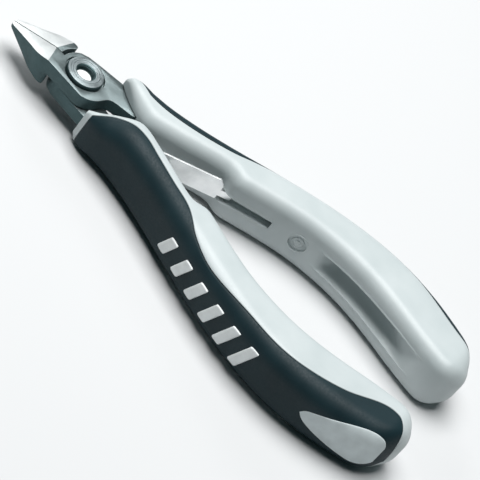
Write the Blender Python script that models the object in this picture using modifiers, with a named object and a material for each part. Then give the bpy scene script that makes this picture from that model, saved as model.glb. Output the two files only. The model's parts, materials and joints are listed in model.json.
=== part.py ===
"""Flush cutter for electronics work.

Two lapped steel halves turn on a pivot screw. Half A carries the left jaw and the right handle; half B is
the same set of pieces given half a turn about the long axis. Each handle has a hard grip frame, a soft outer
panel, an end pad and raised bars. It holds the root of a flat leaf spring, whose tongue runs in the other
grip's slot.

The shapes are worked out in millimetres about the pivot: +X right, +Y to the nose, +Z along the pivot axis.
The finished tool lies on its grips, with its origin under the middle of its box.
"""
import math

import bmesh
import bpy
from mathutils import Matrix, Vector

MM = 0.001

# Driving sizes, in millimetres.
NOSE_REACH = 19.6        # pivot to jaw tip
TAIL_REACH = 105.4       # pivot to the end of the grips
GRIP_HALF = 7.0          # half the thickness of the grips
HEAD_HALF = 3.25         # half the thickness of the steel head
LAP_GAP = 0.15           # each lap plate stops this far from the middle plane
GAP = 0.3                # clearance between pieces that touch on the real tool
PIVOT_Y = (TAIL_REACH - NOSE_REACH) / 2

# Steel head.
LAP_RADIUS = 6.05        # round end of a lap plate
WALL_RADIUS = 7.05       # back wall of a jaw, round the other half's lap plate
JAW_CREASE_Y = 8.5       # where the ground nose bevel starts, at the slit
JAW_CREASE_SKEW = 0.26   # the crease drops this much for each millimetre outwards
TIP_HALF = 0.4           # half the thickness of the jaw tips
SLIT_HALF = 0.12         # half the slit between the closed jaws
PIVOT_RADIUS = 3.0
BORE_RADIUS = 3.05
HEAD_RADIUS = 4.5
HEAD_RISE = 0.75
SOCKET_RADIUS = 2.2
SOCKET_STEP_RADIUS = 1.75
SOCKET_DEPTH = 1.6

# Grip.
OUTER_CORNER = 4.5       # corner radius on the palm side
INNER_CORNER = 3.2       # corner radius on the side that faces the other handle
END_ROUND = 7.5          # the grip's end is rounded over this length, seen from above
END_SIDE_ROUND = 5.5     # and over this length, seen from the side
END_FLAT = 0.1           # the rounding stops this far before a point
PANEL_DEPTH = 2.1        # depth of the seat cut in the frame for the soft panel
PANEL_FRONT_Y = -8.2
PANEL_END_Y = -104.2
PAD_DEPTH = 1.1
PAD_FRONT_Y = -84.5
PAD_END_Y = -102.6
SLOT_HALF = 1.1          # half the height of the spring's guide slot
SLOT_DEPTH = 2.6
SLOT_FRONT_Y = -35.6
SLOT_END_Y = -51.0
POCKET_HALF = 2.5        # half the height of the scooped pocket
POCKET_DEPTH = 3.4
POCKET_FRONT_Y = -64.0
POCKET_END_Y = -95.0
TANG_END_Y = -84.0
TANG_WIDTH = 3.4
TANG_COVER = 3.1         # palm face to the tang

# Leaf spring.
LEAF_ROOT = (5.2, -16.5)
LEAF_ANGLE = math.radians(28.8)
LEAF_THICK = 0.6
LEAF_ROOT_TOP = 3.4
LEAF_ROOT_BOTTOM = 0.3
LEAF_WIDE_BOTTOM = -1.9
LEAF_STEP = 11.9         # root to where the leaf widens
LEAF_WIDE_END = 24.5
LEAF_TONGUE_END = 27.6
TONGUE_HALF = 0.8
LEAF_SWING = math.radians(17.0)

# Raised bars on the palm side.
BAR_COUNT = 6
BAR_FIRST_Y = -40.0
BAR_PITCH = 5.6
BAR_WIDTH = 2.4
BAR_RISE = 0.5
BAR_SLANT = 0.35

# How finely the shapes are divided.
ARC_STEPS = 8            # in each rounded corner of the grip
TURN_STEPS = 40          # round a turned piece
SIDE_POINTS = 11         # along each bare side of the grip's outline
SEAT_POINTS = 12         # across the soft panel's seat
BAR_STEPS = 3            # from the middle of a raised bar to its end
LIP = 0.05               # a step in a moulding is this long
WELD = 0.002             # points closer than this are one
CLEAR = 9.0              # a cutter that goes right through reaches this far from the middle plane


def through(points):
    """A smooth function y -> value through points given from the nose to the tail."""
    ys = [p[0] for p in points]
    vs = [p[1] for p in points]
    last = len(points) - 1
    slopes = []
    for i in range(last + 1):
        a, b = max(i - 1, 0), min(i + 1, last)
        slopes.append((vs[b] - vs[a]) / (ys[b] - ys[a]))

    def value(y):
        i = 0
        while i < last - 1 and y < ys[i + 1]:
            i += 1
        span = ys[i + 1] - ys[i]
        t = min(max((y - ys[i]) / span, 0.0), 1.0)
        return ((2 * t**3 - 3 * t**2 + 1) * vs[i] + (t**3 - 2 * t**2 + t) * span * slopes[i]
                + (3 * t**2 - 2 * t**3) * vs[i + 1] + (t**3 - t**2) * span * slopes[i + 1])

    return value


# The right grip, seen from above: palm side, inner side, and the two flat sides' heights.
palm_x = through([(-6.8, 7.3), (-11.5, 9.4), (-18, 10.3), (-25, 12.1), (-33, 14.9), (-43, 18.9), (-53, 22.6),
                  (-63, 25.5), (-72, 27.0), (-80, 27.2), (-88, 26.1), (-95, 24.2), (-105.5, 20.5)])
inner_x = through([(-6.8, 6.3), (-9, 4.5), (-12, 2.6), (-14.5, 1.3), (-17.5, 0.7), (-24, 2.8), (-30, 5.2),
                   (-34, 6.8), (-37, 7.5), (-40.5, 6.6), (-44, 7.7), (-48.7, 9.5), (-56.3, 12.0), (-63, 13.2),
                   (-70, 13.6), (-77, 13.0), (-84, 11.6), (-91, 9.8), (-98, 8.4), (-105.5, 7.5)])
full_side_z = through([(-6.8, 5.0), (-7.5, 6.0), (-8.5, 6.7), (-10, GRIP_HALF), (-12, GRIP_HALF)])
low_side_z = through([(-6.8, -2.3), (-9, -3.1), (-12, -4.9), (-15.4, -6.3), (-17.5, -6.8), (-20, -GRIP_HALF),
                      (-22, -GRIP_HALF)])
# Edge of the soft panel: on the full side an angle round the palm corner, on the low side a place across.
panel_full_angle = through([(-8.2, 45), (-11.5, 72), (-15, 84), (-25, 89), (-35, 84), (-40, 68), (-44, 56),
                            (-50, 54), (-65, 53), (-78, 55), (-84, 62), (-90, 74), (-96, 76), (-100, 66),
                            (-102.5, 46), (-104.2, 12)])
panel_low_x = through([(-8.2, 7.3), (-11.5, 5.5), (-16.2, 4.6), (-21, 5.4), (-24.4, 6.8), (-31, 9.5),
                       (-37.5, 12.1), (-43.2, 16.8), (-51.2, 20.6), (-64, 23.1), (-72, 24.0), (-79, 23.2),
                       (-88.4, 19.6), (-96, 14.4), (-100, 13.6), (-102.5, 15.2), (-104.2, 18.0)])
# End pad, as distances round the palm side from its middle.
pad_low = through([(-84.5, -0.4), (-86, -1.6), (-90, -3.4), (-96, -5.6), (-99, -6.1), (-101.2, -5.3),
                   (-102.6, -2.8)])
pad_full = through([(-84.5, 0.6), (-86, 1.7), (-90, 2.7), (-96, 3.9), (-99, 4.1), (-101.2, 3.5),
                    (-102.6, 1.8)])


def rounded(y, length):
    """How much is left of a shape rounded off over a length before the grip's end, from 1 to 0."""
    past = max(0.0, (length - TAIL_REACH - END_FLAT - y) / length)
    return math.sqrt(max(0.0, 1 - past**2))


def section(y):
    """Sizes of the rounded box that is the grip's cross-section at y."""
    palm, inner, top, bottom = palm_x(y), inner_x(y), full_side_z(y), low_side_z(y)
    middle, half = (palm + inner) / 2, (palm - inner) / 2 * rounded(y, END_ROUND)
    drop = END_SIDE_ROUND * (1 - rounded(y, END_SIDE_ROUND))
    palm, inner, top, bottom = middle + half, middle - half, top - drop, bottom + drop
    scale = min(1.0, 0.95 * (palm - inner) / (OUTER_CORNER + INNER_CORNER),
                0.95 * (top - bottom) / (2 * OUTER_CORNER))
    return palm, inner, top, bottom, OUTER_CORNER * scale, INNER_CORNER * scale


def arc(cx, cz, radius, start):
    """A quarter turn of outline points with their outward normals, from start degrees."""
    result = []
    for i in range(ARC_STEPS + 1):
        turn = math.radians(start + 90 * i / ARC_STEPS)
        nx, nz = math.cos(turn), math.sin(turn)
        result.append((cx + radius * nx, cz + radius * nz, nx, nz))
    return result


class Outline:
    """The grip's outline at y, by distance from the middle of the palm side; the full side is positive."""

    def __init__(self, y):
        self.y = y
        palm, inner, top, bottom, ro, ri = section(y)
        self.palm, self.inner, self.top, self.bottom = palm, inner, top, bottom
        self.ro, self.ri = ro, ri
        middle = (top + bottom) / 2
        self.rise = top - ro - middle
        self.flat = (palm - ro) - (inner + ri)
        points = [(palm, middle, 1, 0)]
        points += arc(palm - ro, top - ro, ro, 0)
        points += arc(inner + ri, top - ri, ri, 90)
        points += arc(inner + ri, bottom + ri, ri, 180)
        points += arc(palm - ro, bottom + ro, ro, 270)
        points.append((palm, middle, 1, 0))
        self.points = points
        self.along = [0.0]
        for p, q in zip(points, points[1:]):
            self.along.append(self.along[-1] + math.dist(p[:2], q[:2]))
        self.length = self.along[-1]

    def at(self, distance, depth=0.0):
        """The point at a distance round the outline, sunk by depth, in millimetres."""
        distance %= self.length
        i = 0
        while i < len(self.along) - 2 and self.along[i + 1] < distance:
            i += 1
        span = self.along[i + 1] - self.along[i]
        t = (distance - self.along[i]) / span if span else 0.0
        x, z, nx, nz = (a + (b - a) * t for a, b in zip(self.points[i], self.points[i + 1]))
        return Vector((x - nx * depth, self.y, z - nz * depth))

    def run(self, start, end, count, depth=0.0):
        """count points between two distances."""
        return [self.at(start + (end - start) * i / (count - 1), depth) for i in range(count)]

    def seat_depth(self):
        """Depth of the panel's seat, less where the grip is narrow."""
        return min(PANEL_DEPTH, 0.8 * self.ro)

    def full_edge(self):
        """Distance to the soft panel's edge on the full side."""
        return self.rise + self.ro * math.radians(panel_full_angle(self.y))

    def low_edge(self):
        """Distance to the soft panel's edge on the low side, as a positive number."""
        across = max(0.0, self.palm - panel_low_x(self.y))
        if across < self.ro:
            return self.rise + self.ro * math.acos(1 - across / self.ro)
        return self.rise + self.ro * math.pi / 2 + across - self.ro

    def to_inner(self, z, side):
        """Distance to height z on the inner face, going round by the full (1) or the low (-1) side."""
        edge = self.top if side > 0 else self.bottom
        straight = abs(edge - z) - self.ri
        return self.rise + (self.ro + self.ri) * math.pi / 2 + self.flat + straight


def stations():
    """Places along the grip, closer together where it turns quickly, from the nose to the tail."""
    steady = [-6.8, -7.4, -9.5, -11, -13, -15, -17.5, -20, -24, -28, -32, -34, -37.2, -39, -41, -43.5, -47,
              -56, -60, -68, -72, -76, -80, -88, -92, -95, -98, -100.5, -101.8, -105.0, -TAIL_REACH]
    steps = [PANEL_FRONT_Y, PANEL_FRONT_Y - LIP, PANEL_FRONT_Y - GAP, SLOT_FRONT_Y, SLOT_FRONT_Y - 0.5,
             SLOT_END_Y, SLOT_END_Y - LIP, POCKET_FRONT_Y, PAD_FRONT_Y + GAP + LIP, PAD_FRONT_Y + GAP,
             PAD_END_Y - GAP, PAD_END_Y - GAP - LIP, PANEL_END_Y + GAP, PANEL_END_Y, PANEL_END_Y - LIP]
    return sorted(steady + steps, reverse=True)


def groove(y):
    """Half height and depth of whatever is cut in the inner face at y."""
    if SLOT_END_Y <= y <= SLOT_FRONT_Y - 0.5:
        return SLOT_HALF, SLOT_DEPTH
    if POCKET_END_Y < y < POCKET_FRONT_Y:
        along = (POCKET_FRONT_Y - y) / (POCKET_FRONT_Y - POCKET_END_Y)
        return POCKET_HALF, POCKET_DEPTH * min(1.0, along / 0.2) * min(1.0, (1 - along) / 0.6)
    return (SLOT_HALF if y > -58 else POCKET_HALF), 0.0


def frame_ring(y, seated):
    """Cross-section of the grip frame, with the panel's seat if seated."""
    o = Outline(y)
    half, deep = groove(y)
    full, low = o.full_edge(), o.low_edge()
    ring = o.run(full, o.to_inner(half + GAP, 1), SIDE_POINTS)
    ring += [Vector((x, y, z)) for x, z in ((o.inner, half), (o.inner + deep, half),
                                            (o.inner + deep, -half), (o.inner, -half))]
    ring += o.run(-o.to_inner(-half - GAP, -1), -low, SIDE_POINTS)
    return ring + o.run(-low, full, SEAT_POINTS, o.seat_depth() if seated else 0.0)


def panel_ring(y, padded):
    """Cross-section of the soft panel, with the end pad's seat if padded."""
    o = Outline(y)
    full, low = o.full_edge() - GAP, -o.low_edge() + GAP
    near, far = pad_low(y) - GAP, pad_full(y) + GAP
    ring = o.run(low, near, 6) + o.run(near, far, 5, PAD_DEPTH if padded else 0.0) + o.run(far, full, 5)
    return ring + o.run(full, low, SEAT_POINTS, o.seat_depth() - GAP)


def pad_ring(y):
    """Cross-section of the end pad."""
    o = Outline(y)
    return o.run(pad_low(y), pad_full(y), 6) + o.run(pad_full(y), pad_low(y), 6, PAD_DEPTH - GAP)


def new_object(name, bm, colour, roughness, metallic):
    """An object from a bmesh in millimetres, with its own material."""
    bmesh.ops.remove_doubles(bm, verts=bm.verts, dist=WELD)
    bmesh.ops.dissolve_degenerate(bm, edges=bm.edges, dist=WELD)
    bmesh.ops.recalc_face_normals(bm, faces=bm.faces)
    bmesh.ops.triangulate(bm, faces=bm.faces)
    bmesh.ops.scale(bm, vec=(MM, MM, MM), verts=bm.verts)
    mesh = bpy.data.meshes.new(name)
    bm.to_mesh(mesh)
    bm.free()
    obj = bpy.data.objects.new(name, mesh)
    parts.objects.link(obj)
    material = bpy.data.materials.new(name)
    material.use_nodes = True
    shader = material.node_tree.nodes["Principled BSDF"]
    shader.inputs["Base Color"].default_value = (*colour, 1)
    shader.inputs["Roughness"].default_value = roughness
    shader.inputs["Metallic"].default_value = metallic
    mesh.materials.append(material)
    return obj


def loft(rings):
    """A closed solid through rings with the same number of points."""
    bm = bmesh.new()
    loops = [[bm.verts.new(p) for p in ring] for ring in rings]
    count = len(loops[0])
    for a, b in zip(loops, loops[1:]):
        for i in range(count):
            j = (i + 1) % count
            bm.faces.new((a[i], a[j], b[j], b[i]))
    bm.faces.new(loops[0])
    bm.faces.new(reversed(loops[-1]))
    return bm


def baked(guide):
    """A guide object's evaluated shape as a welded bmesh. The guide is removed."""
    cutters.objects.link(guide)
    mesh = bpy.data.meshes.new_from_object(guide.evaluated_get(bpy.context.evaluated_depsgraph_get()))
    bm = bmesh.new()
    bm.from_mesh(mesh)
    bmesh.ops.remove_doubles(bm, verts=bm.verts, dist=WELD)
    bpy.data.objects.remove(guide)
    return bm


def prism(points, low, high):
    """A flat outline, filled and extruded between two heights."""
    outline = bpy.data.curves.new("outline", "CURVE")
    outline.dimensions = "2D"
    outline.fill_mode = "BOTH"
    outline.extrude = (high - low) / 2
    spline = outline.splines.new("POLY")
    spline.points.add(len(points) - 1)
    for point, (x, y) in zip(spline.points, points):
        point.co = (x, y, 0, 1)
    spline.use_cyclic_u = True
    bm = baked(bpy.data.objects.new("outline", outline))
    bmesh.ops.translate(bm, vec=(0, 0, (low + high) / 2), verts=bm.verts)
    return bm


def turned(profile):
    """A solid of revolution about the pivot axis: a profile of (radius, height), its ends on the axis."""
    mesh = bpy.data.meshes.new("profile")
    mesh.from_pydata([(r, 0, z) for r, z in profile], [(i, i + 1) for i in range(len(profile) - 1)], [])
    guide = bpy.data.objects.new("profile", mesh)
    screw = guide.modifiers.new("turn", "SCREW")
    screw.steps = screw.render_steps = TURN_STEPS
    screw.use_merge_vertices = True
    screw.merge_threshold = 0.0001
    return baked(guide)


def through_bore():
    """A cutter for the pivot bore."""
    return turned([(0, CLEAR), (BORE_RADIUS, CLEAR), (BORE_RADIUS, -CLEAR), (0, -CLEAR)])


def grown(points, amount):
    """An outline moved outwards by amount. Its points run anticlockwise."""
    result = []
    count = len(points)
    for i, here in enumerate(points):
        before = Vector(points[i - 1])
        after = Vector(points[(i + 1) % count])
        a = (Vector(here) - before).normalized()
        b = (after - Vector(here)).normalized()
        normal = (Vector((a.y, -a.x)) + Vector((b.y, -b.x))).normalized()
        lean = max(0.5, normal.dot(Vector((a.y, -a.x))))
        result.append(tuple(Vector(here) + normal * amount / lean))
    return result


def round_arc(radius, start, end, steps):
    """Points on a circle about the pivot, between two angles in degrees."""
    turns = [math.radians(start + (end - start) * i / steps) for i in range(steps + 1)]
    return [(radius * math.cos(a), radius * math.sin(a)) for a in turns]


def plate_outline():
    """Half A's lap plate and tang from above, anticlockwise from the slit."""
    palm_side = [(5.1, 2.6), (5.65, -0.6), (6.5, -7.1), (6.4, -7.5), (5.2, -8.1)]
    tang_ys = [-12, -18, -25, -33, -43, -53, -63, -72, -80, TANG_END_Y]
    outer = [(palm_x(y) - TANG_COVER, y) for y in tang_ys]
    inner = [(palm_x(y) - TANG_COVER - TANG_WIDTH, y) for y in tang_ys if y < -16]
    root = [(2.6, -17.0), (1.9, -15.0), (1.0, -13.8), (0.5, -11.3), (0.1, -9.2), (-0.8, -7.7), (-3.4, -6.6),
            (-5.1, -5.3), (-5.95, -3.8), (-6.1, -2.5), (-5.5, 3.4), (-5.15, 7.2), (-SLIT_HALF, 8.4)]
    clockwise = round_arc(LAP_RADIUS, 91, 45, 8) + palm_side + outer + inner[::-1] + root
    return clockwise[::-1]


def jaw_outline():
    """Half A's jaw from above, anticlockwise."""
    wall = round_arc(WALL_RADIUS, 91, 126, 6)
    outer = [(-4.85, 5.7), (-5.15, 6.2), (-5.15, 7.2), (-4.8, 10.2), (-3.5, 13.4), (-1.5, 18.7), (-0.9, 19.4)]
    return (wall + outer + [(-SLIT_HALF, NOSE_REACH)])[::-1]


def bevel_jaw(bm):
    """Grind the nose bevels: two planes that slope from the crease to the thin tip."""
    slope = (HEAD_HALF - TIP_HALF) / (NOSE_REACH - JAW_CREASE_Y)
    for side in (1, -1):
        normal = Vector((-JAW_CREASE_SKEW * slope, slope, side))
        geometry = bm.verts[:] + bm.edges[:] + bm.faces[:]
        cut = bmesh.ops.bisect_plane(bm, geom=geometry, plane_co=(0, JAW_CREASE_Y, side * HEAD_HALF),
                                     plane_no=normal, clear_outer=True)
        edges = [e for e in cut["geom_cut"] if isinstance(e, bmesh.types.BMEdge)]
        bmesh.ops.holes_fill(bm, edges=edges)
    return bm


def leaf_bmesh():
    """The leaf, set on edge from its root: narrow root, wide blade with a cut corner, and a tongue."""
    side = [(-0.4, LEAF_ROOT_BOTTOM), (LEAF_STEP, LEAF_ROOT_BOTTOM), (LEAF_STEP, LEAF_WIDE_BOTTOM),
            (LEAF_WIDE_END, LEAF_WIDE_BOTTOM), (LEAF_WIDE_END, -TONGUE_HALF), (LEAF_TONGUE_END, -TONGUE_HALF),
            (LEAF_TONGUE_END, TONGUE_HALF), (LEAF_WIDE_END, TONGUE_HALF),
            (LEAF_WIDE_END, LEAF_ROOT_TOP - 1.3), (LEAF_WIDE_END - 1.1, LEAF_ROOT_TOP), (-0.4, LEAF_ROOT_TOP)]
    bm = prism(side, -LEAF_THICK / 2, LEAF_THICK / 2)
    along = Vector((-math.sin(LEAF_ANGLE), -math.cos(LEAF_ANGLE), 0))
    down = Vector((0, 0, -1))
    bm.transform(Matrix((along, down, along.cross(down))).transposed().to_4x4())
    return bm


def root_pocket():
    """Room in the right grip for the leaf's root and its swing."""
    reach, side = 9.0, 0.75
    x, y = LEAF_ROOT
    tail = Vector((-math.sin(LEAF_ANGLE), -math.cos(LEAF_ANGLE)))
    nose_angle = LEAF_ANGLE + LEAF_SWING
    nose = Vector((-math.sin(nose_angle), -math.cos(nose_angle)))
    tail_side = Vector((-tail.y, tail.x)) * side
    nose_side = Vector((nose.y, -nose.x)) * side
    root = Vector((x, y))
    corners = [root - tail * side + tail_side, root + tail_side + tail * reach,
               root + nose_side + nose * reach, root - nose * side + nose_side]
    if corners[1].x > corners[2].x:
        corners.reverse()
    return prism([tuple(c) for c in corners], -LEAF_ROOT_TOP - GAP, 0.0)


def boolean(target, bm, operation="DIFFERENCE"):
    """Cut or join a bmesh in millimetres with target, and keep the result as target's mesh."""
    tool = new_object("cutter", bm, (1, 0, 0), 0.5, 0)
    parts.objects.unlink(tool)
    cutters.objects.link(tool)
    modifier = target.modifiers.new("cut", "BOOLEAN")
    modifier.operation = operation
    modifier.object = tool
    depsgraph = bpy.context.evaluated_depsgraph_get()
    mesh = bpy.data.meshes.new_from_object(target.evaluated_get(depsgraph))
    target.modifiers.clear()
    target.data = mesh
    bpy.data.objects.remove(tool)


def steel_half():
    """Lap plate, tang and jaw of half A in one piece, with the pivot bore."""
    plate = prism(plate_outline(), LAP_GAP, HEAD_HALF)
    plate = new_object("half_a_steel", plate, (0.42, 0.46, 0.47), 0.35, 1)
    jaw = bevel_jaw(prism(jaw_outline(), -HEAD_HALF, HEAD_HALF))
    boolean(plate, jaw, "UNION")
    boolean(plate, through_bore())
    return plate


def grip_frame():
    """Hard moulding of the right handle."""
    rings = [frame_ring(y, PANEL_END_Y <= y < PANEL_FRONT_Y) for y in stations()]
    frame = new_object("grip_frame_right", loft(rings), (0.78, 0.8, 0.81), 0.4, 0)
    boolean(frame, prism(grown(plate_outline(), GAP), LAP_GAP - GAP, HEAD_HALF + GAP))
    boolean(frame, root_pocket())
    return frame


def soft_panel():
    """Soft outer moulding of the right handle."""
    ys = [y for y in stations() if PANEL_END_Y + GAP <= y <= PANEL_FRONT_Y - GAP]
    rings = [panel_ring(y, PAD_END_Y - GAP <= y <= PAD_FRONT_Y + GAP) for y in ys]
    return new_object("soft_panel_right", loft(rings), (0.02, 0.035, 0.04), 0.6, 0)


def end_pad():
    """Teardrop inlay near the end of the soft panel."""
    ys = [PAD_FRONT_Y, -86, -88, -92, -95, -98, -100.5, -101.8, PAD_END_Y]
    return new_object("end_pad_right", loft([pad_ring(y) for y in ys]), (0.45, 0.5, 0.51), 0.6, 0)


def raised_bar(number):
    """One slanted bar on the palm side; the bars get longer towards the tail."""
    middle = BAR_FIRST_Y - BAR_PITCH * number
    half = 2.5 + 0.22 * number
    rings = []
    for step in range(-BAR_STEPS, BAR_STEPS + 1):
        across = half * step / BAR_STEPS
        width = BAR_WIDTH / 2 * (1.0 if abs(step) < BAR_STEPS else 0.55)
        y = middle + BAR_SLANT * across
        corners = [(y + width, -0.1), (y + width, -BAR_RISE), (y - width, -BAR_RISE), (y - width, -0.1)]
        rings.append([Outline(v).at(across, depth) for v, depth in corners])
    return new_object(f"raised_bar_right_{number + 1}", loft(rings), (0.6, 0.63, 0.64), 0.5, 0)


def pivot_screw():
    """Screw with a raised round head, a stepped blind socket and a plain shank."""
    foot = HEAD_HALF + LAP_GAP
    top = HEAD_HALF + HEAD_RISE
    floor = top - SOCKET_DEPTH
    profile = [(0, floor), (SOCKET_STEP_RADIUS, floor), (SOCKET_STEP_RADIUS, floor + 0.7),
               (SOCKET_RADIUS, floor + 0.7), (SOCKET_RADIUS, top), (HEAD_RADIUS - 0.5, top),
               (HEAD_RADIUS, top - 0.35), (HEAD_RADIUS, foot), (PIVOT_RADIUS, foot),
               (PIVOT_RADIUS, -HEAD_HALF - 0.5), (0, -HEAD_HALF - 0.5)]
    return new_object("pivot_screw", turned(profile), (0.6, 0.62, 0.62), 0.25, 1)


def pivot_nut():
    """Thin ring nut on the far side of the joint."""
    top, bottom = -HEAD_HALF - LAP_GAP, -HEAD_HALF - HEAD_RISE
    profile = [(0, top), (HEAD_RADIUS, top), (HEAD_RADIUS, bottom + 0.35), (HEAD_RADIUS - 0.5, bottom),
               (0, bottom)]
    nut = new_object("pivot_nut", turned(profile), (0.6, 0.62, 0.62), 0.25, 1)
    boolean(nut, through_bore())
    return nut


def half_turned(obj, name, parent, location=(0, 0, 0)):
    """The same piece on the other half: half a turn about the long axis."""
    copy = bpy.data.objects.new(name, obj.data)
    parts.objects.link(copy)
    copy.parent = parent
    copy.rotation_euler = (0, math.pi, 0)
    copy.location = location
    return copy


def pivot_empty(name):
    """An empty on the pivot axis, at the middle of the joint."""
    empty = bpy.data.objects.new(name, None)
    empty.location = (0, PIVOT_Y * MM, GRIP_HALF * MM)
    parts.objects.link(empty)
    return empty


def build():
    """All the pieces, on two empties that stand for the two halves."""
    half_a, half_b = pivot_empty("half_a_pivot"), pivot_empty("half_b_pivot")
    pairs = [(steel_half(), "half_b_steel"), (grip_frame(), "grip_frame_left"),
             (soft_panel(), "soft_panel_left"), (end_pad(), "end_pad_left")]
    pairs += [(raised_bar(i), f"raised_bar_left_{i + 1}") for i in range(BAR_COUNT)]
    for piece, other in pairs:
        half_turned(piece, other, half_b)
    leaf = new_object("leaf_spring_right", leaf_bmesh(), (0.8, 0.82, 0.82), 0.15, 1)
    x, y = LEAF_ROOT
    leaf.location = (x * MM, y * MM, 0)
    for piece in [piece for piece, _ in pairs] + [pivot_screw(), pivot_nut(), leaf]:
        piece.parent = half_a
    half_turned(leaf, "leaf_spring_left", half_b, (-x * MM, y * MM, 0))


for old in list(bpy.data.objects):
    bpy.data.objects.remove(old)
parts = bpy.data.collections.new("flush_cutter")
cutters = bpy.data.collections.new("cutters")
bpy.context.scene.collection.children.link(parts)
bpy.context.scene.collection.children.link(cutters)
build()
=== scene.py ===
"""Looks of the flush cutter: detailed pieces in place of the plain solids, with materials, floor and light.

The shapes are worked out in millimetres about the pivot: +X right, +Y to the nose, +Z along the pivot axis.
Half B's pieces are half A's, given half a turn about the long axis.
"""
import json
import math

import bmesh
import bpy
from mathutils import Matrix, Vector


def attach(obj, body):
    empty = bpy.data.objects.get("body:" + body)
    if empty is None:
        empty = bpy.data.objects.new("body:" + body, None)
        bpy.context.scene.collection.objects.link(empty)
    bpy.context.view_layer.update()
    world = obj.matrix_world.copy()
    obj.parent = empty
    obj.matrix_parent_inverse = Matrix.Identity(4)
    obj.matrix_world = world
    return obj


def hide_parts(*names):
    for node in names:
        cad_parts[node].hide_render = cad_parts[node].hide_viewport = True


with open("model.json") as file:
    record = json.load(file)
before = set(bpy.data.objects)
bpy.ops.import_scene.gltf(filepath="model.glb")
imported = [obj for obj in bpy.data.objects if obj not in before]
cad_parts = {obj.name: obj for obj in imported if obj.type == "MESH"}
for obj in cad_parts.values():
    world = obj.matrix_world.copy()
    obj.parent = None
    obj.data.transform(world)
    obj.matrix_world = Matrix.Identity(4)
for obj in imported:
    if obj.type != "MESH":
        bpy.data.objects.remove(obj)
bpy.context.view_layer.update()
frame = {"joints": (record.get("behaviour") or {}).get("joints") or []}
joints = {joint["name"]: joint for joint in frame["joints"]}
PIVOT = Vector(joints["handles"]["pos_m"])
MM = 0.001

# Steel head, in millimetres as everything below.
NOSE_REACH = 19.6
TAIL_REACH = 105.4
GRIP_HALF = 7.0
HEAD_HALF = 3.25
LAP_GAP = 0.15
LAP_RADIUS = 6.05
WALL_RADIUS = 7.05
JAW_CREASE_Y = 8.5
JAW_CREASE_SKEW = 0.26
TIP_HALF = 0.4
SLIT_HALF = 0.1
BORE_RADIUS = 3.05
SINK_RADIUS = 4.95       # shallow recess in the plate round the screw head
SINK_DEPTH = 0.8
HEAD_RADIUS = 4.5
HEAD_RISE = 0.75
SOCKET_RADIUS = 2.2
SOCKET_DEPTH = 1.5
STEEL_EDGE = 0.1         # broken edges of the steel
STEEL_ROOM = 0.22        # gap between the steel and the hard moulding round it

# Grip.
OUTER_CORNER = 4.5
INNER_CORNER = 3.2
END_ROUND = 7.5
END_SIDE_ROUND = 5.5
SEAT_DEPTH = 1.0
PANEL_FRONT_Y = -8.2
PANEL_END_Y = -104.2
SEAM = 0.06              # half the fine gap between two mouldings
RIM = 0.2                # rounding of a moulding's edge
PAD_FRONT_Y = -84.5
PAD_END_Y = -102.6
PAD_RISE = 0.1
SLOT_FRONT_Y = -35.6
SLOT_END_Y = -51.0
SLOT_HOLE = 1.5          # length of the deeper square hole at the slot's end
POCKET_FRONT_Y = -63.0
POCKET_END_Y = -96.0
POCKET_DEPTH = 4.6
POCKET_FRONT_EASE = 6.0  # lengths over which the pocket deepens from its two ends
POCKET_END_EASE = 14.0
SCOOP_UPPER = 6          # how squarely the pocket meets its upper and lower edges
SCOOP_LOWER = 1.8
SLOT_START = 0.3         # the slot's ramp behind its front edge
SLOT_DEPTH = 2.6
SLOT_DEPTH_LOSS = 0.7    # how much shallower the slot is at its end
SLOT_HOLE_DEPTH = 3.4
STAMP_Y = -58.0          # round mould mark on the inner face
STAMP_RADIUS = 2.25
STAMP_DEPTH = 0.45
ROOT_FRONT_Y = -15.7
ROOT_END_Y = -24.5
ROOT_ROOM = 0.8          # room behind the leaf in its notch

# A fine raised bead round the cuts in the inner face: (distance from the edge, height).
BEAD = [(0.0, 0.0), (0.05, 0.11), (0.17, 0.17), (0.3, 0.12), (0.5, 0.0)]

# Leaf spring.
LEAF_ROOT = (5.2, -16.5)
LEAF_ANGLE = math.radians(28.8)
LEAF_THICK = 0.6
LEAF_ROOT_TOP = 3.4
LEAF_ROOT_BOTTOM = 0.3
LEAF_WIDE_BOTTOM = -1.9
LEAF_STEP = 11.9
LEAF_WIDE_END = 24.5
LEAF_TONGUE_END = 27.6
TONGUE_HALF = 0.8

# Raised bars.
BAR_COUNT = 6
BAR_FIRST_Y = -40.0
BAR_PITCH = 5.6
BAR_WIDTH = 2.4
BAR_RISE = 0.5
BAR_SLANT = 0.35
BAR_HALF = 2.5           # half length of the first bar, and what each next one adds
BAR_GROWTH = 0.22

# Screw head.
THREAD_COUNT = 4
THREAD_PITCH = 0.27
RING_COUNT = 7
RING_PITCH = 0.2
DEEP_RING = 3

# Steps in the fine meshes.
GRIP_STEPS = 115
END_STEPS = 26
TURN_STEPS = 128
STAMP_STEPS = 64

# Camera, in metres but for its aim in millimetres about the pivot, and the studio's fill.
CAMERA_LENS = 207
CAMERA_DISTANCE = 0.6
CAMERA_AIM = (2.9, -48.8, -2.6)
CAMERA_RIGHT = (0.4913, -0.7185, 0.4926)
CAMERA_BACK = (-0.762, -0.080, 0.643)
FILL_COLOUR = (0.35, 0.62, 0.65, 1)
FILL_STRENGTH = 0.08


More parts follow.
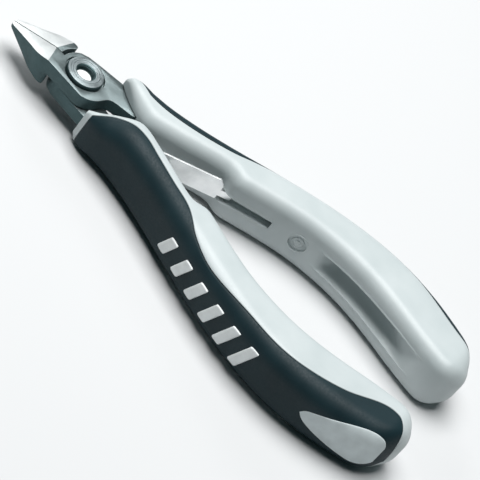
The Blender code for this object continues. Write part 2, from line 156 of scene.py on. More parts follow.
def through(points):
    """A smooth function y -> value through points given from the nose to the tail."""
    ys = [p[0] for p in points]
    vs = [p[1] for p in points]
    last = len(points) - 1
    slopes = []
    for i in range(last + 1):
        a, b = max(i - 1, 0), min(i + 1, last)
        slopes.append((vs[b] - vs[a]) / (ys[b] - ys[a]))

    def value(y):
        i = 0
        while i < last - 1 and y < ys[i + 1]:
            i += 1
        span = ys[i + 1] - ys[i]
        t = min(max((y - ys[i]) / span, 0.0), 1.0)
        return ((2 * t**3 - 3 * t**2 + 1) * vs[i] + (t**3 - 2 * t**2 + t) * span * slopes[i]
                + (3 * t**2 - 2 * t**3) * vs[i + 1] + (t**3 - t**2) * span * slopes[i + 1])

    return value


# The right grip, seen from above: palm side, inner side, and the two flat sides' heights.
palm_x = through([(-6.8, 7.3), (-11.5, 9.4), (-18, 10.3), (-25, 12.1), (-33, 14.9), (-43, 18.9), (-53, 22.6),
                  (-63, 25.5), (-72, 27.0), (-80, 27.2), (-88, 26.1), (-95, 24.2), (-105.5, 20.5)])
inner_x = through([(-6.8, 6.3), (-9, 4.5), (-12, 2.6), (-14.5, 1.3), (-17.5, 0.7), (-24, 2.8), (-30, 5.2),
                   (-34, 6.8), (-37, 7.5), (-40.5, 6.6), (-44, 7.7), (-48.7, 9.5), (-56.3, 12.0), (-63, 13.2),
                   (-70, 13.6), (-77, 13.0), (-84, 11.6), (-91, 9.8), (-98, 8.4), (-105.5, 7.5)])
full_side_z = through([(-6.8, 5.0), (-7.5, 6.0), (-8.5, 6.7), (-10, GRIP_HALF), (-12, GRIP_HALF)])
low_side_z = through([(-6.8, -2.3), (-9, -3.1), (-12, -4.9), (-15.4, -6.3), (-17.5, -6.8), (-20, -GRIP_HALF),
                      (-22, -GRIP_HALF)])
# Edge of the soft panel: on the full side an angle round the palm corner, on the low side a place across.
panel_full_angle = through([(-8.2, 45), (-11.5, 72), (-15, 84), (-25, 89), (-35, 84), (-40, 68), (-44, 56),
                            (-50, 54), (-65, 53), (-78, 55), (-84, 62), (-90, 74), (-96, 76), (-100, 66),
                            (-102.5, 46), (-104.2, 12)])
panel_low_x = through([(-8.2, 7.3), (-11.5, 5.5), (-16.2, 4.6), (-21, 5.4), (-24.4, 6.8), (-31, 9.5),
                       (-37.5, 12.1), (-43.2, 16.8), (-51.2, 20.6), (-64, 23.1), (-72, 24.0), (-79, 23.2),
                       (-88.4, 19.6), (-96, 14.4), (-100, 13.6), (-102.5, 15.2), (-104.2, 18.0)])
# End pad, as distances round the palm side from its middle.
pad_low = through([(-84.5, -0.1), (-85.2, -1.1), (-86.5, -1.9), (-90, -3.4), (-96, -5.6), (-99, -6.1),
                   (-101.2, -5.3), (-102.3, -3.9), (-102.6, -2.8)])
pad_full = through([(-84.5, 0.1), (-85.2, 0.9), (-86.5, 1.7), (-90, 2.7), (-96, 3.9), (-99, 4.1),
                    (-101.2, 3.5), (-102.3, 2.5), (-102.6, 1.8)])
# Top and bottom edges of what is cut in the inner face: leaf root notch, guide slot, scooped pocket.
cut_top = through([(-14, 0.05), (-25, 0.05), (-30, 0.5), (-34.5, 1.05), (-52, 1.05), (-58, 1.6), (-63, 2.2),
                   (-75, 2.6), (-86, 3.1), (-97, 3.8)])
cut_bottom = through([(-14, -3.75), (-25, -3.75), (-29, -3.2), (-33, -2.3), (-39.4, -2.0), (-41.5, -1.15),
                      (-43, -1.05), (-52, -1.05), (-58, -1.6), (-63, -2.4), (-75, -2.6), (-97, -2.6)])


def rounded(y, length):
    """How much is left of a shape rounded off over a length before the grip's end, from 1 to 0."""
    past = max(0.0, (length - TAIL_REACH - y) / length)
    return math.sqrt(max(0.0, 1 - past**2))


class Outline:
    """The grip's outline at y, by distance from the middle of the palm side, positive to the full side."""

    def __init__(self, y):
        self.y = y
        palm, inner, top, bottom = palm_x(y), inner_x(y), full_side_z(y), low_side_z(y)
        middle, half = (palm + inner) / 2, (palm - inner) / 2 * rounded(y, END_ROUND)
        drop = END_SIDE_ROUND * (1 - rounded(y, END_SIDE_ROUND))
        self.palm, self.inner = middle + half, middle - half
        self.top, self.bottom = top - drop, bottom + drop
        scale = min(1.0, 0.98 * 2 * half / (OUTER_CORNER + INNER_CORNER),
                    0.98 * (self.top - self.bottom) / (2 * OUTER_CORNER))
        self.ro, self.ri = OUTER_CORNER * scale, INNER_CORNER * scale
        self.middle = (self.top + self.bottom) / 2
        self.rise = self.top - self.ro - self.middle
        self.flat = (self.palm - self.ro) - (self.inner + self.ri)
        self.to_corner = self.rise + self.ro * math.pi / 2
        self.to_inner = self.to_corner + self.flat + self.ri * math.pi / 2

    def at(self, distance, depth=0.0):
        """The point at a distance round the outline, sunk by depth."""
        side = 1 if distance >= 0 else -1
        edge = self.top if side > 0 else self.bottom
        along = abs(distance)
        if along <= self.rise:
            x, z, nx, nz = self.palm, self.middle + side * along, 1, 0
        elif along <= self.to_corner:
            turn = (along - self.rise) / self.ro
            nx, nz = math.cos(turn), math.sin(turn)
            x, z = self.palm - self.ro * (1 - nx), edge - side * self.ro * (1 - nz)
        elif along <= self.to_corner + self.flat:
            x, z, nx, nz = self.palm - self.ro - (along - self.to_corner), edge, 0, 1
        else:
            turn = min((along - self.to_corner - self.flat) / self.ri, math.pi / 2)
            nx, nz = -math.sin(turn), math.cos(turn)
            x, z = self.inner + self.ri * (1 + nx), edge - side * self.ri * (1 - nz)
        return Vector((x - nx * depth, self.y, z - side * nz * depth))

    def full_edge(self):
        """Distance to the soft panel's edge on the full side."""
        return self.rise + self.ro * math.radians(panel_full_angle(self.y))

    def low_edge(self):
        """Distance to the soft panel's edge on the low side, as a negative number."""
        across = max(0.0, self.palm - panel_low_x(self.y))
        if across < self.ro:
            return -self.rise - self.ro * math.acos(1 - across / self.ro)
        return -self.to_corner - across + self.ro


def spread(start, end, count):
    """count values from start to end, both included."""
    return [start + (end - start) * i / (count - 1) for i in range(count)]


def rim_steps(radius=RIM, count=4):
    """Places across a rounded edge, as (distance from the edge, drop below the surface), outermost first."""
    turns = [math.pi / 2 * i / (count - 1) for i in range(count)]
    return [(radius * (1 - math.cos(a)), radius * (1 - math.sin(a))) for a in turns]


def rim_drop(distance, radius=RIM):
    """Drop of a rounded edge at a distance inside it."""
    if distance >= radius:
        return 0.0
    return radius - math.sqrt(radius**2 - (radius - max(distance, 0.0))**2)


def zone_run(o, start, zone, end, depth, counts):
    """Points round the outline from start to end, with a sunk zone between two distances.

    depth is the zone's; the rim beside it is rounded only where the zone is cut deeper than the rounding.
    """
    a, b = zone
    cut = depth > RIM
    points = [o.at(s) for s in spread(start, a - RIM, counts[0])[:-1]]
    points += [o.at(a - t, drop if cut else 0.0) for t, drop in reversed(rim_steps())]
    points += [o.at(s, depth) for s in spread(a, b, counts[1])]
    points += [o.at(b + t, drop if cut else 0.0) for t, drop in rim_steps()]
    return points + [o.at(s) for s in spread(b + RIM, end, counts[2])[1:]]


def closed_loft(rings):
    """A closed bmesh through rings with the same number of points."""
    bm = bmesh.new()
    loops = [[bm.verts.new(p) for p in ring] for ring in rings]
    count = len(loops[0])
    for a, b in zip(loops, loops[1:]):
        for i in range(count):
            j = (i + 1) % count
            bm.faces.new((a[i], a[j], b[j], b[i]))
    bm.faces.new(loops[0])
    bm.faces.new(reversed(loops[-1]))
    return bm


def piece(name, bm, *materials, sharp=40):
    """An object from a bmesh in millimetres about the pivot, smooth but for its sharp edges."""
    bmesh.ops.remove_doubles(bm, verts=bm.verts, dist=0.0005)
    bmesh.ops.recalc_face_normals(bm, faces=bm.faces)
    bmesh.ops.scale(bm, vec=(MM, MM, MM), verts=bm.verts)
    mesh = bpy.data.meshes.new(name)
    bm.to_mesh(mesh)
    bm.free()
    for material in materials:
        mesh.materials.append(material)
    mesh.shade_smooth()
    mesh.set_sharp_from_angle(angle=math.radians(sharp))
    obj = bpy.data.objects.new(name, mesh)
    bpy.context.scene.collection.objects.link(obj)
    obj.location = PIVOT
    return obj


# Steel.


def curve(points, steps=4):
    """Points on a smooth curve through the given ones."""
    result = []
    last = len(points) - 1
    for i in range(last):
        p0, p1, p2, p3 = (Vector(points[min(max(j, 0), last)]) for j in (i - 1, i, i + 1, i + 2))
        for k in range(steps):
            t = k / steps
            result.append(0.5 * (2 * p1 + (p2 - p0) * t + (2 * p0 - 5 * p1 + 4 * p2 - p3) * t**2
                                 + (3 * p1 - p0 - 3 * p2 + p3) * t**3))
    return [tuple(p) for p in result] + [tuple(points[-1])]


def round_arc(radius, start, end, steps):
    """Points on a circle about the pivot, between two angles in degrees."""
    turns = [math.radians(a) for a in spread(start, end, steps + 1)]
    return [(radius * math.cos(a), radius * math.sin(a)) for a in turns]


def plate_outline():
    """Half A's lap plate and tang from above."""
    palm_side = curve([(5.1, 2.6), (5.65, -0.6), (6.5, -7.1)]) + [(6.4, -7.6), (5.2, -8.1)]
    tang_ys = [-12, -18, -25, -33, -43, -53, -63, -72, -80, -84]
    outer = [(palm_x(y) - 3.1, y) for y in tang_ys]
    inner = [(palm_x(y) - 6.5, y) for y in tang_ys if y < -16]
    root = curve([(2.6, -17.0), (1.9, -15.0), (1.0, -13.8), (0.5, -11.3), (0.1, -9.2), (-0.8, -7.7),
                  (-3.4, -6.6), (-5.1, -5.3), (-5.95, -3.8), (-6.1, -2.5), (-5.5, 3.4), (-5.15, 7.2)])
    return round_arc(LAP_RADIUS, 91, 45, 24) + palm_side + outer + inner[::-1] + root + [(-SLIT_HALF, 8.4)]


def jaw_outline():
    """Half A's jaw from above."""
    wall = round_arc(WALL_RADIUS, 91, 126, 12)
    outer = [(-4.85, 5.7), (-5.15, 6.2), (-5.15, 7.2)]
    outer += curve([(-5.15, 7.2), (-4.8, 10.2), (-3.5, 13.4), (-1.5, 18.7)])[1:]
    return wall + outer + [(-1.25, 19.2), (-0.8, 19.5), (-SLIT_HALF, NOSE_REACH)]


def prism(points, low, high):
    """A flat outline made into a solid between two heights."""
    return closed_loft([[Vector((x, y, z)) for x, y in points] for z in (low, high)])


def ground_jaw():
    """The jaw with its nose ground down to the thin tip on both sides."""
    bm = prism(jaw_outline(), -HEAD_HALF, HEAD_HALF)
    slope = (HEAD_HALF - TIP_HALF) / (NOSE_REACH - JAW_CREASE_Y)
    for side in (1, -1):
        cut = bmesh.ops.bisect_plane(bm, geom=bm.verts[:] + bm.edges[:] + bm.faces[:],
                                     plane_co=(0, JAW_CREASE_Y, side * HEAD_HALF),
                                     plane_no=(-JAW_CREASE_SKEW * slope, slope, side), clear_outer=True)
        bmesh.ops.holes_fill(bm, edges=[e for e in cut["geom_cut"] if isinstance(e, bmesh.types.BMEdge)])
    return bm


def turned(profile, steps=TURN_STEPS):
    """A turned bmesh from a profile of (radius, height) between two points on the axis."""
    turns = [2 * math.pi * i / steps for i in range(steps)]
    return closed_loft([[Vector((r * math.cos(a), r * math.sin(a), z)) for a in turns] for r, z in profile])


def combine(bm, other, operation):
    """Join or cut one bmesh with another, and give the result as a new bmesh."""
    objects = []
    for one in (bm, other):
        bmesh.ops.recalc_face_normals(one, faces=one.faces)
        mesh = bpy.data.meshes.new("working")
        one.to_mesh(mesh)
        one.free()
        objects.append(bpy.data.objects.new("working", mesh))
        bpy.context.scene.collection.objects.link(objects[-1])
    modifier = objects[0].modifiers.new("combine", "BOOLEAN")
    modifier.operation = operation
    modifier.object = objects[1]
    result = bmesh.new()
    result.from_object(objects[0], bpy.context.evaluated_depsgraph_get())
    for obj in objects:
        mesh = obj.data
        bpy.data.objects.remove(obj)
        bpy.data.meshes.remove(mesh)
    return result


def break_edges(bm, width, angle=25):
    """Small rounded bevels on the sharp edges."""
    bmesh.ops.dissolve_limit(bm, angle_limit=math.radians(0.4), verts=bm.verts, edges=bm.edges)
    edges = [e for e in bm.edges if len(e.link_faces) == 2 and e.calc_face_angle() > math.radians(angle)]
    bmesh.ops.bevel(bm, geom=edges, offset=width, segments=3, profile=0.5, affect="EDGES", clamp_overlap=True)


def steel_half(name, satin, ground, side):
    """Lap plate, tang and jaw in one piece: satin faces; the ground nose and broken edges in a brighter steel
    that is partly the ground finish and partly painted highlight; side walls in a darker copy of the steel as
    painted shade.
    """
    bm = combine(prism(plate_outline(), LAP_GAP, HEAD_HALF), ground_jaw(), "UNION")
    sink = [(BORE_RADIUS, -9), (BORE_RADIUS, HEAD_HALF - SINK_DEPTH), (SINK_RADIUS, HEAD_HALF - SINK_DEPTH),
            (SINK_RADIUS, 9)]
    bm = combine(bm, turned(sink), "DIFFERENCE")
    break_edges(bm, STEEL_EDGE)
    # Faces are sorted by which way they face: side walls take the darker steel as painted shade, slopes and
    # broken edges the brighter steel, partly ground finish and partly painted highlight.
    for face in bm.faces:
        n = face.normal
        if abs(n.z) < 0.3:
            face.material_index = 2
        elif abs(n.z) < 0.995:
            face.material_index = 1
    return piece(name, bm, satin, ground, side, sharp=30)


def pivot_screw(name, material, floor, side):
    """Round head with fine turning grooves, and a socket with a threaded wall; the socket floor is a
    near-white steel as painted highlight, and the head's side, the socket wall and the shank take the darker
    steel as painted shade.
    """
    top = HEAD_HALF + HEAD_RISE
    bottom = top - SOCKET_DEPTH
    profile = [(SOCKET_RADIUS - 0.35, bottom), (SOCKET_RADIUS - 0.12, bottom + 0.05)]
    for turn in range(THREAD_COUNT):
        z = bottom + 0.1 + turn * THREAD_PITCH
        profile += [(SOCKET_RADIUS - 0.12, z), (SOCKET_RADIUS + 0.06, z + THREAD_PITCH / 2)]
    profile += [(SOCKET_RADIUS, top - 0.22), (SOCKET_RADIUS + 0.25, top - 0.03)]
    for ring in range(RING_COUNT):
        r = SOCKET_RADIUS + 0.35 + ring * RING_PITCH
        deep = 0.06 if ring == DEEP_RING else 0.02
        profile += [(r, top), (r + RING_PITCH * 0.6, top), (r + RING_PITCH * 0.8, top - deep)]
    profile += [(HEAD_RADIUS - 0.42, top), (HEAD_RADIUS - 0.2, top - 0.07), (HEAD_RADIUS - 0.06, top - 0.22),
                (HEAD_RADIUS, top - 0.4), (HEAD_RADIUS, HEAD_HALF - SINK_DEPTH + 0.05),
                (BORE_RADIUS - 0.05, HEAD_HALF - SINK_DEPTH + 0.05), (BORE_RADIUS - 0.05, -HEAD_HALF)]
    bm = turned(profile)
    bm.faces.ensure_lookup_table()
    # The socket floor takes the near-white steel as painted highlight; faces below the head's top take the
    # darker steel as painted shade.
    for face in bm.faces:
        middle = face.calc_center_median()
        if bottom - 0.1 < middle.z < bottom + 0.02:
            face.material_index = 1
        elif middle.z < top - 0.1:
            face.material_index = 2
    return piece(name, bm, material, floor, side, sharp=28)


def pivot_nut(name, material):
    """Thin ring nut with a chamfer, closed by the end of the shank."""
    top, bottom = -HEAD_HALF + SINK_DEPTH, -HEAD_HALF - HEAD_RISE
    shank = bottom + 0.25
    profile = [(2.2, shank), (2.35, shank), (2.4, shank + 0.12), (2.45, shank + 0.12), (2.5, shank),
               (2.7, bottom + 0.1), (2.85, bottom), (HEAD_RADIUS - 0.42, bottom),
               (HEAD_RADIUS - 0.2, bottom + 0.07), (HEAD_RADIUS - 0.06, bottom + 0.22),
               (HEAD_RADIUS, bottom + 0.4), (HEAD_RADIUS, top)]
    return piece(name, turned(profile), material, sharp=28)


def leaf_spring(name, material):
    """Flat spring strip: narrow root, wide blade with a cut corner, and a tongue."""
    side = [(-0.4, LEAF_ROOT_BOTTOM), (LEAF_STEP, LEAF_ROOT_BOTTOM), (LEAF_STEP, LEAF_WIDE_BOTTOM),
            (LEAF_WIDE_END, LEAF_WIDE_BOTTOM), (LEAF_WIDE_END, -TONGUE_HALF), (LEAF_TONGUE_END, -TONGUE_HALF),
            (LEAF_TONGUE_END, TONGUE_HALF), (LEAF_WIDE_END, TONGUE_HALF),
            (LEAF_WIDE_END, LEAF_ROOT_TOP - 1.3), (LEAF_WIDE_END - 1.1, LEAF_ROOT_TOP), (-0.4, LEAF_ROOT_TOP)]
    s, c = math.sin(LEAF_ANGLE), math.cos(LEAF_ANGLE)
    rings = []
    for across in (-LEAF_THICK / 2, LEAF_THICK / 2):
        rings.append([Vector((-s * u + c * across, -c * u - s * across, -z)) for u, z in side])
    bm = closed_loft(rings)
    break_edges(bm, 0.09)
    leaf = piece(name, bm, material, sharp=30)
    leaf.location = PIVOT + Vector((LEAF_ROOT[0] * MM, LEAF_ROOT[1] * MM, 0))
    return leaf


# Grip.


def grip_stations():
    """Places along the grip from the nose to the tail, closer together at its details."""
    ys = spread(-6.8, -98, GRIP_STEPS)
    ys += [-TAIL_REACH + END_ROUND * (1 - math.sin(a)) for a in spread(0, math.pi / 2, END_STEPS)][:-1]
    ys += [-TAIL_REACH + 0.02, -TAIL_REACH + 0.002]
    for edge, side in ((PANEL_FRONT_Y, 1), (PANEL_END_Y, -1)):
        ys += [edge + side * t for t, _ in rim_steps()] + [edge - side * 0.002]
    ys += [ROOT_FRONT_Y, ROOT_FRONT_Y - 0.02, SLOT_FRONT_Y, SLOT_FRONT_Y - SLOT_START,
           SLOT_END_Y + SLOT_HOLE + 0.02, SLOT_END_Y + SLOT_HOLE, SLOT_END_Y + 0.02]
    ys += [SLOT_END_Y - t for t, _ in BEAD]
    return sorted(set(round(y, 4) for y in ys), reverse=True)


def bead_height(distance):
    """Height of the bead at a distance from its cut's edge."""
    for (a, low), (b, high) in zip(BEAD, BEAD[1:]):
        if a <= distance <= b:
            return low + (high - low) * (distance - a) / (b - a)
    return 0.0


def cut_depth(y):
    """Depth of what is cut in the inner face at y, and whether it is a round scoop."""
    if ROOT_END_Y < y <= ROOT_FRONT_Y - 0.01:
        back = LEAF_ROOT[0] + ROOT_ROOM + math.tan(LEAF_ANGLE) * (y - LEAF_ROOT[1])
        return max(0.0, back - inner_x(y)), False
    if SLOT_END_Y + 0.01 <= y <= SLOT_FRONT_Y - SLOT_START:
        if y < SLOT_END_Y + SLOT_HOLE + 0.01:
            return SLOT_HOLE_DEPTH, False
        return SLOT_DEPTH - SLOT_DEPTH_LOSS * (SLOT_FRONT_Y - y) / (SLOT_FRONT_Y - SLOT_END_Y), False
    if POCKET_END_Y < y < POCKET_FRONT_Y:
        front = min(1.0, (POCKET_FRONT_Y - y) / POCKET_FRONT_EASE)
        back = min(1.0, (y - POCKET_END_Y) / POCKET_END_EASE)
        ease = (3 * front**2 - 2 * front**3) * (3 * back**2 - 2 * back**3)
        return POCKET_DEPTH * ease, True
    return 0.0, False


def inner_run(o, y):
    """Points down the inner face, through whatever is cut in it."""
    depth, scoop = cut_depth(y)
    high, low = o.top - o.ri, o.bottom + o.ri
    width = BEAD[-1][0]
    top = min(cut_top(y), high - width - 0.05)
    bottom = max(cut_bottom(y), low + width + 0.05)
    beaded = min(1.0, depth / 0.4)
    past = SLOT_END_Y - y
    end_bead = bead_height(past) if 0 <= past <= BEAD[-1][0] else 0.0
    points = [(z, 0.0) for z in spread(high, top + width, 6)[1:-1]]
    points += [(top + t, -h * beaded) for t, h in reversed(BEAD)]
    for f in spread(1, -1, 17):
        z = (top + bottom) / 2 + f * (top - bottom) / 2
        shape = 1 - abs(f)**(SCOOP_UPPER if f > 0 else SCOOP_LOWER) if scoop else 1.0
        points.append((z, depth * shape - end_bead * (1 - abs(f)**8)))
    points += [(bottom - t, -h * beaded) for t, h in BEAD]
    points += [(z, 0.0) for z in spread(bottom - width, low, 6)[1:-1]]
    return [Vector((o.inner + deep, y, z)) for z, deep in points]


def frame_ring(y):
    """Cross-section of the grip frame."""
    o = Outline(y)
    seated = PANEL_END_Y - 0.001 <= y <= PANEL_FRONT_Y - 0.001
    outside = max(y - PANEL_FRONT_Y, PANEL_END_Y - y)
    depth = min(SEAT_DEPTH, 0.7 * o.ro) if seated else rim_drop(outside)
    full, low = o.full_edge() + SEAM, o.low_edge() - SEAM
    ring = zone_run(o, -o.to_inner, (low, full), o.to_inner, depth, (26, 14, 26))
    return ring + inner_run(o, y)


def panel_ring(y):
    """Cross-section of the soft panel, its edges rounded."""
    o = Outline(y)
    full, low = o.full_edge() - SEAM, o.low_edge() + SEAM
    end_drop = rim_drop(min(PANEL_FRONT_Y - SEAM - y, y - PANEL_END_Y - SEAM))
    steps = rim_steps()
    ring = [o.at(low + t, max(drop, end_drop)) for t, drop in steps]
    ring += [o.at(s, end_drop) for s in spread(low + RIM, full - RIM, 44)[1:-1]]
    ring += [o.at(full - t, max(drop, end_drop)) for t, drop in reversed(steps)]
    under = min(SEAT_DEPTH, 0.7 * o.ro) - 0.1
    return ring + [o.at(s, under) for s in spread(full, low, 14)]


def pad_ring(y):
    """Cross-section of the end pad, which stands a little proud of the panel."""
    o = Outline(y)
    low, full = pad_low(y), pad_full(y)
    end_drop = rim_drop(y - PAD_END_Y)
    steps = [(min(t, (full - low) / 3), drop) for t, drop in rim_steps()]
    ring = [o.at(low + t, max(drop, end_drop) - PAD_RISE) for t, drop in steps]
    ring += [o.at(s, end_drop - PAD_RISE) for s in spread(low + steps[-1][0], full - steps[-1][0], 20)[1:-1]]
    ring += [o.at(full - t, max(drop, end_drop) - PAD_RISE) for t, drop in reversed(steps)]
    return ring + [o.at(s, 0.4) for s in spread(full, low, 8)]


def stamp(bm):
    """Small round mould mark on the inner face: a sunk floor with plain rings, and a raised rim."""
    slope = (inner_x(STAMP_Y + 1) - inner_x(STAMP_Y - 1)) / 2
    turn = Vector((0, 0, 1)).rotation_difference(Vector((-1, slope, 0))).to_matrix().to_4x4()
    place = Matrix.Translation(Vector((inner_x(STAMP_Y), STAMP_Y, 0))) @ turn
    r, floor = STAMP_RADIUS, -STAMP_DEPTH
    rim = turned([(r, 0.12), (r + 0.12, 0.14), (r + 0.26, 0.09), (r + 0.36, -0.1)], STAMP_STEPS)
    hole = turned([(r, floor), (r, 1.0)], STAMP_STEPS)
    rings = turned([(0.5, floor + 0.14), (0.62, floor + 0.02), (1.2, floor + 0.02), (1.28, floor + 0.14),
                    (1.42, floor + 0.14), (1.5, floor - 0.1)], STAMP_STEPS)
    for one, operation in ((rim, "UNION"), (hole, "DIFFERENCE"), (rings, "UNION")):
        one.transform(place)
        bm = combine(bm, one, operation)
    return bm


def grown(points, amount):
    """A clockwise outline moved outwards by amount."""
    result = []
    for before, here, after in zip(points[-1:] + points[:-1], points, points[1:] + points[:1]):
        a = (Vector(here) - Vector(before)).normalized()
        b = (Vector(after) - Vector(here)).normalized()
        normal = (Vector((-a.y, a.x)) + Vector((-b.y, b.x))).normalized()
        result.append(tuple(Vector(here) + normal * amount / max(0.5, normal.dot(Vector((-a.y, a.x))))))
    return result


def grip_frame(name, material):
    """Hard moulding of the right handle, with clearance round the steel."""
    bm = closed_loft([frame_ring(y) for y in grip_stations()])
    room = prism(grown(plate_outline(), STEEL_ROOM), LAP_GAP - STEEL_ROOM, HEAD_HALF + STEEL_ROOM)
    bm = stamp(combine(bm, room, "DIFFERENCE"))
    return piece(name, bm, material, sharp=38)


def soft_panel(name, material):
    """Soft outer moulding of the right handle."""
    front, end = PANEL_FRONT_Y - SEAM, PANEL_END_Y + SEAM
    ys = [front - t for t, _ in rim_steps()] + [y for y in grip_stations() if end + RIM < y < front - RIM]
    ys += [end + t for t, _ in reversed(rim_steps())]
    return piece(name, closed_loft([panel_ring(y) for y in ys]), material, sharp=50)


def end_pad(name, material):
    """Teardrop inlay near the end of the soft panel."""
    ys = [PAD_FRONT_Y - 1.2 * t**2 for t in spread(0, 1, 8)] + spread(PAD_FRONT_Y - 1.5, PAD_END_Y + RIM, 36)
    ys += [PAD_END_Y + t for t, _ in reversed(rim_steps())][1:]
    return piece(name, closed_loft([pad_ring(y) for y in ys]), material, sharp=50)


def raised_bar(name, number, material):
    """One slanted bar on the palm side, with rounded ends and edges."""
    middle = BAR_FIRST_Y - BAR_PITCH * number
    half = BAR_HALF + BAR_GROWTH * number
    rings = []
    for turn in spread(-math.pi / 2, math.pi / 2, 25):
        across = half * math.sin(turn)
        squeeze = min(1.0, math.cos(turn) * half / (BAR_WIDTH / 2 + 0.01))
        squeeze = max(0.04, math.sqrt(1 - (1 - squeeze)**2))
        y = middle + BAR_SLANT * across
        ring = []
        for v in spread(-1, 1, 13):
            width = BAR_WIDTH / 2 * squeeze
            edge = min(1.0, (1 - abs(v)) * width / 0.3)
            ring.append((y - v * width, -BAR_RISE + 0.22 * (1 - math.sqrt(1 - (1 - edge)**2))
                         + 0.22 * (1 - squeeze)))
        ring = [(ring[0][0], 0.15)] + ring + [(ring[-1][0], 0.15)]
        rings.append([Outline(v).at(across, depth) for v, depth in ring])
    return piece(name, closed_loft(rings), material, sharp=50)


# Materials.


def new_material(name, colour, roughness, metallic=0.0):
    """A material with its node tree, its main shader and a texture coordinate node."""
    material = bpy.data.materials.new(name)
    material.use_nodes = True
    tree = material.node_tree
    shader = tree.nodes["Principled BSDF"]
    shader.inputs["Base Color"].default_value = (*colour, 1)
    shader.inputs["Roughness"].default_value = roughness
    shader.inputs["Metallic"].default_value = metallic
    return material, tree, shader, tree.nodes.new("ShaderNodeTexCoord")


def noise(tree, coords, scale, detail=3.0, stretch=(1, 1, 1)):
    """A noise texture's value over the object's own coordinates, scale in features per millimetre."""
    mapping = tree.nodes.new("ShaderNodeMapping")
    mapping.inputs["Scale"].default_value = [s / MM for s in stretch]
    tree.links.new(coords.outputs["Object"], mapping.inputs["Vector"])
    node = tree.nodes.new("ShaderNodeTexNoise")
    node.inputs["Scale"].default_value = scale
    node.inputs["Detail"].default_value = detail
    tree.links.new(mapping.outputs["Vector"], node.inputs["Vector"])
    return node.outputs["Fac"]


def ramp(tree, value, stops):
    """Colours against a value."""
    node = tree.nodes.new("ShaderNodeValToRGB")
    elements = node.color_ramp.elements
    while len(elements) < len(stops):
        elements.new(0.5)
    for element, (position, colour) in zip(elements, stops):
        element.position = position
        element.color = (*colour, 1) if len(colour) == 3 else colour
    tree.links.new(value, node.inputs["Fac"])
    return node.outputs["Color"]


def spanned(tree, value, low, high):
    """A 0 to 1 value stretched between two numbers."""
    node = tree.nodes.new("ShaderNodeMapRange")
    node.inputs["From Min"].default_value = 0.3
    node.inputs["From Max"].default_value = 0.7
    node.inputs["To Min"].default_value = low
    node.inputs["To Max"].default_value = high
    tree.links.new(value, node.inputs["Value"])
    return node.outputs["Result"]


def bumped(tree, shader, *heights):
    """Bumps from (value, depth in millimetres, strength), one over the other."""
    normal = None
    for value, depth, strength in heights:
        node = tree.nodes.new("ShaderNodeBump")
        node.inputs["Strength"].default_value = strength
        node.inputs["Distance"].default_value = depth * MM
        tree.links.new(value, node.inputs["Height"])
        if normal:
            tree.links.new(normal, node.inputs["Normal"])
        normal = node.outputs["Normal"]
    tree.links.new(normal, shader.inputs["Normal"])


def moulded_plastic():
    """Pale hard plastic with a fine spark-eroded skin."""
    material, tree, shader, coords = new_material("pale_plastic", (0.5, 0.53, 0.54), 0.42)
    mottle = noise(tree, coords, 0.12, 4)
    skin = noise(tree, coords, 3.2, 2)
    flow = noise(tree, coords, 0.35, 3, (1.6, 0.35, 1.6))
    tree.links.new(ramp(tree, mottle, [(0.3, (0.455, 0.505, 0.51)), (0.7, (0.505, 0.55, 0.555))]),
                   shader.inputs["Base Color"])
    tree.links.new(spanned(tree, skin, 0.36, 0.5), shader.inputs["Roughness"])
    bumped(tree, shader, (flow, 0.02, 0.25), (skin, 0.012, 0.35))
    return material


def soft_rubber():
    """Near-black soft plastic with a fine leathery grain."""
    material, tree, shader, coords = new_material("soft_plastic", (0.006, 0.02, 0.026), 0.55)
    grain = noise(tree, coords, 2.4, 4)
    cloud = noise(tree, coords, 0.16, 4)
    tree.links.new(ramp(tree, cloud, [(0.3, (0.004, 0.017, 0.022)), (0.7, (0.007, 0.023, 0.029))]),
                   shader.inputs["Base Color"])
    tree.links.new(spanned(tree, grain, 0.46, 0.64), shader.inputs["Roughness"])
    shader.inputs["Specular IOR Level"].default_value = 0.25
    bumped(tree, shader, (cloud, 0.03, 0.2), (grain, 0.03, 0.5))
    return material


def matt_plastic(name, colour, scale):
    """Matt moulded plastic for the small inlays."""
    material, tree, shader, coords = new_material(name, colour, 0.6)
    fine = noise(tree, coords, scale, 3)
    broad = noise(tree, coords, 0.3, 3)
    darker = [c * 0.9 for c in colour]
    lighter = [min(1.0, c * 1.08) for c in colour]
    tree.links.new(ramp(tree, broad, [(0.3, darker), (0.7, lighter)]), shader.inputs["Base Color"])
    tree.links.new(spanned(tree, fine, 0.5, 0.68), shader.inputs["Roughness"])
    bumped(tree, shader, (fine, 0.02, 0.4))
    return material


def steel(name, colour, roughness, stretch, depth, strength, metallic=1.0):
    """Steel with fine grinding marks along one direction."""
    material, tree, shader, coords = new_material(name, colour, roughness, metallic)
    marks = noise(tree, coords, 1.0, 5, stretch)
    cloud = noise(tree, coords, 0.25, 4)
    darker = [c * 0.86 for c in colour]
    lighter = [min(1.0, c * 1.12) for c in colour]
    tree.links.new(ramp(tree, cloud, [(0.3, darker), (0.7, lighter)]), shader.inputs["Base Color"])
    tree.links.new(spanned(tree, marks, roughness * 0.8, roughness * 1.25), shader.inputs["Roughness"])
    bumped(tree, shader, (marks, depth, strength))
    return material


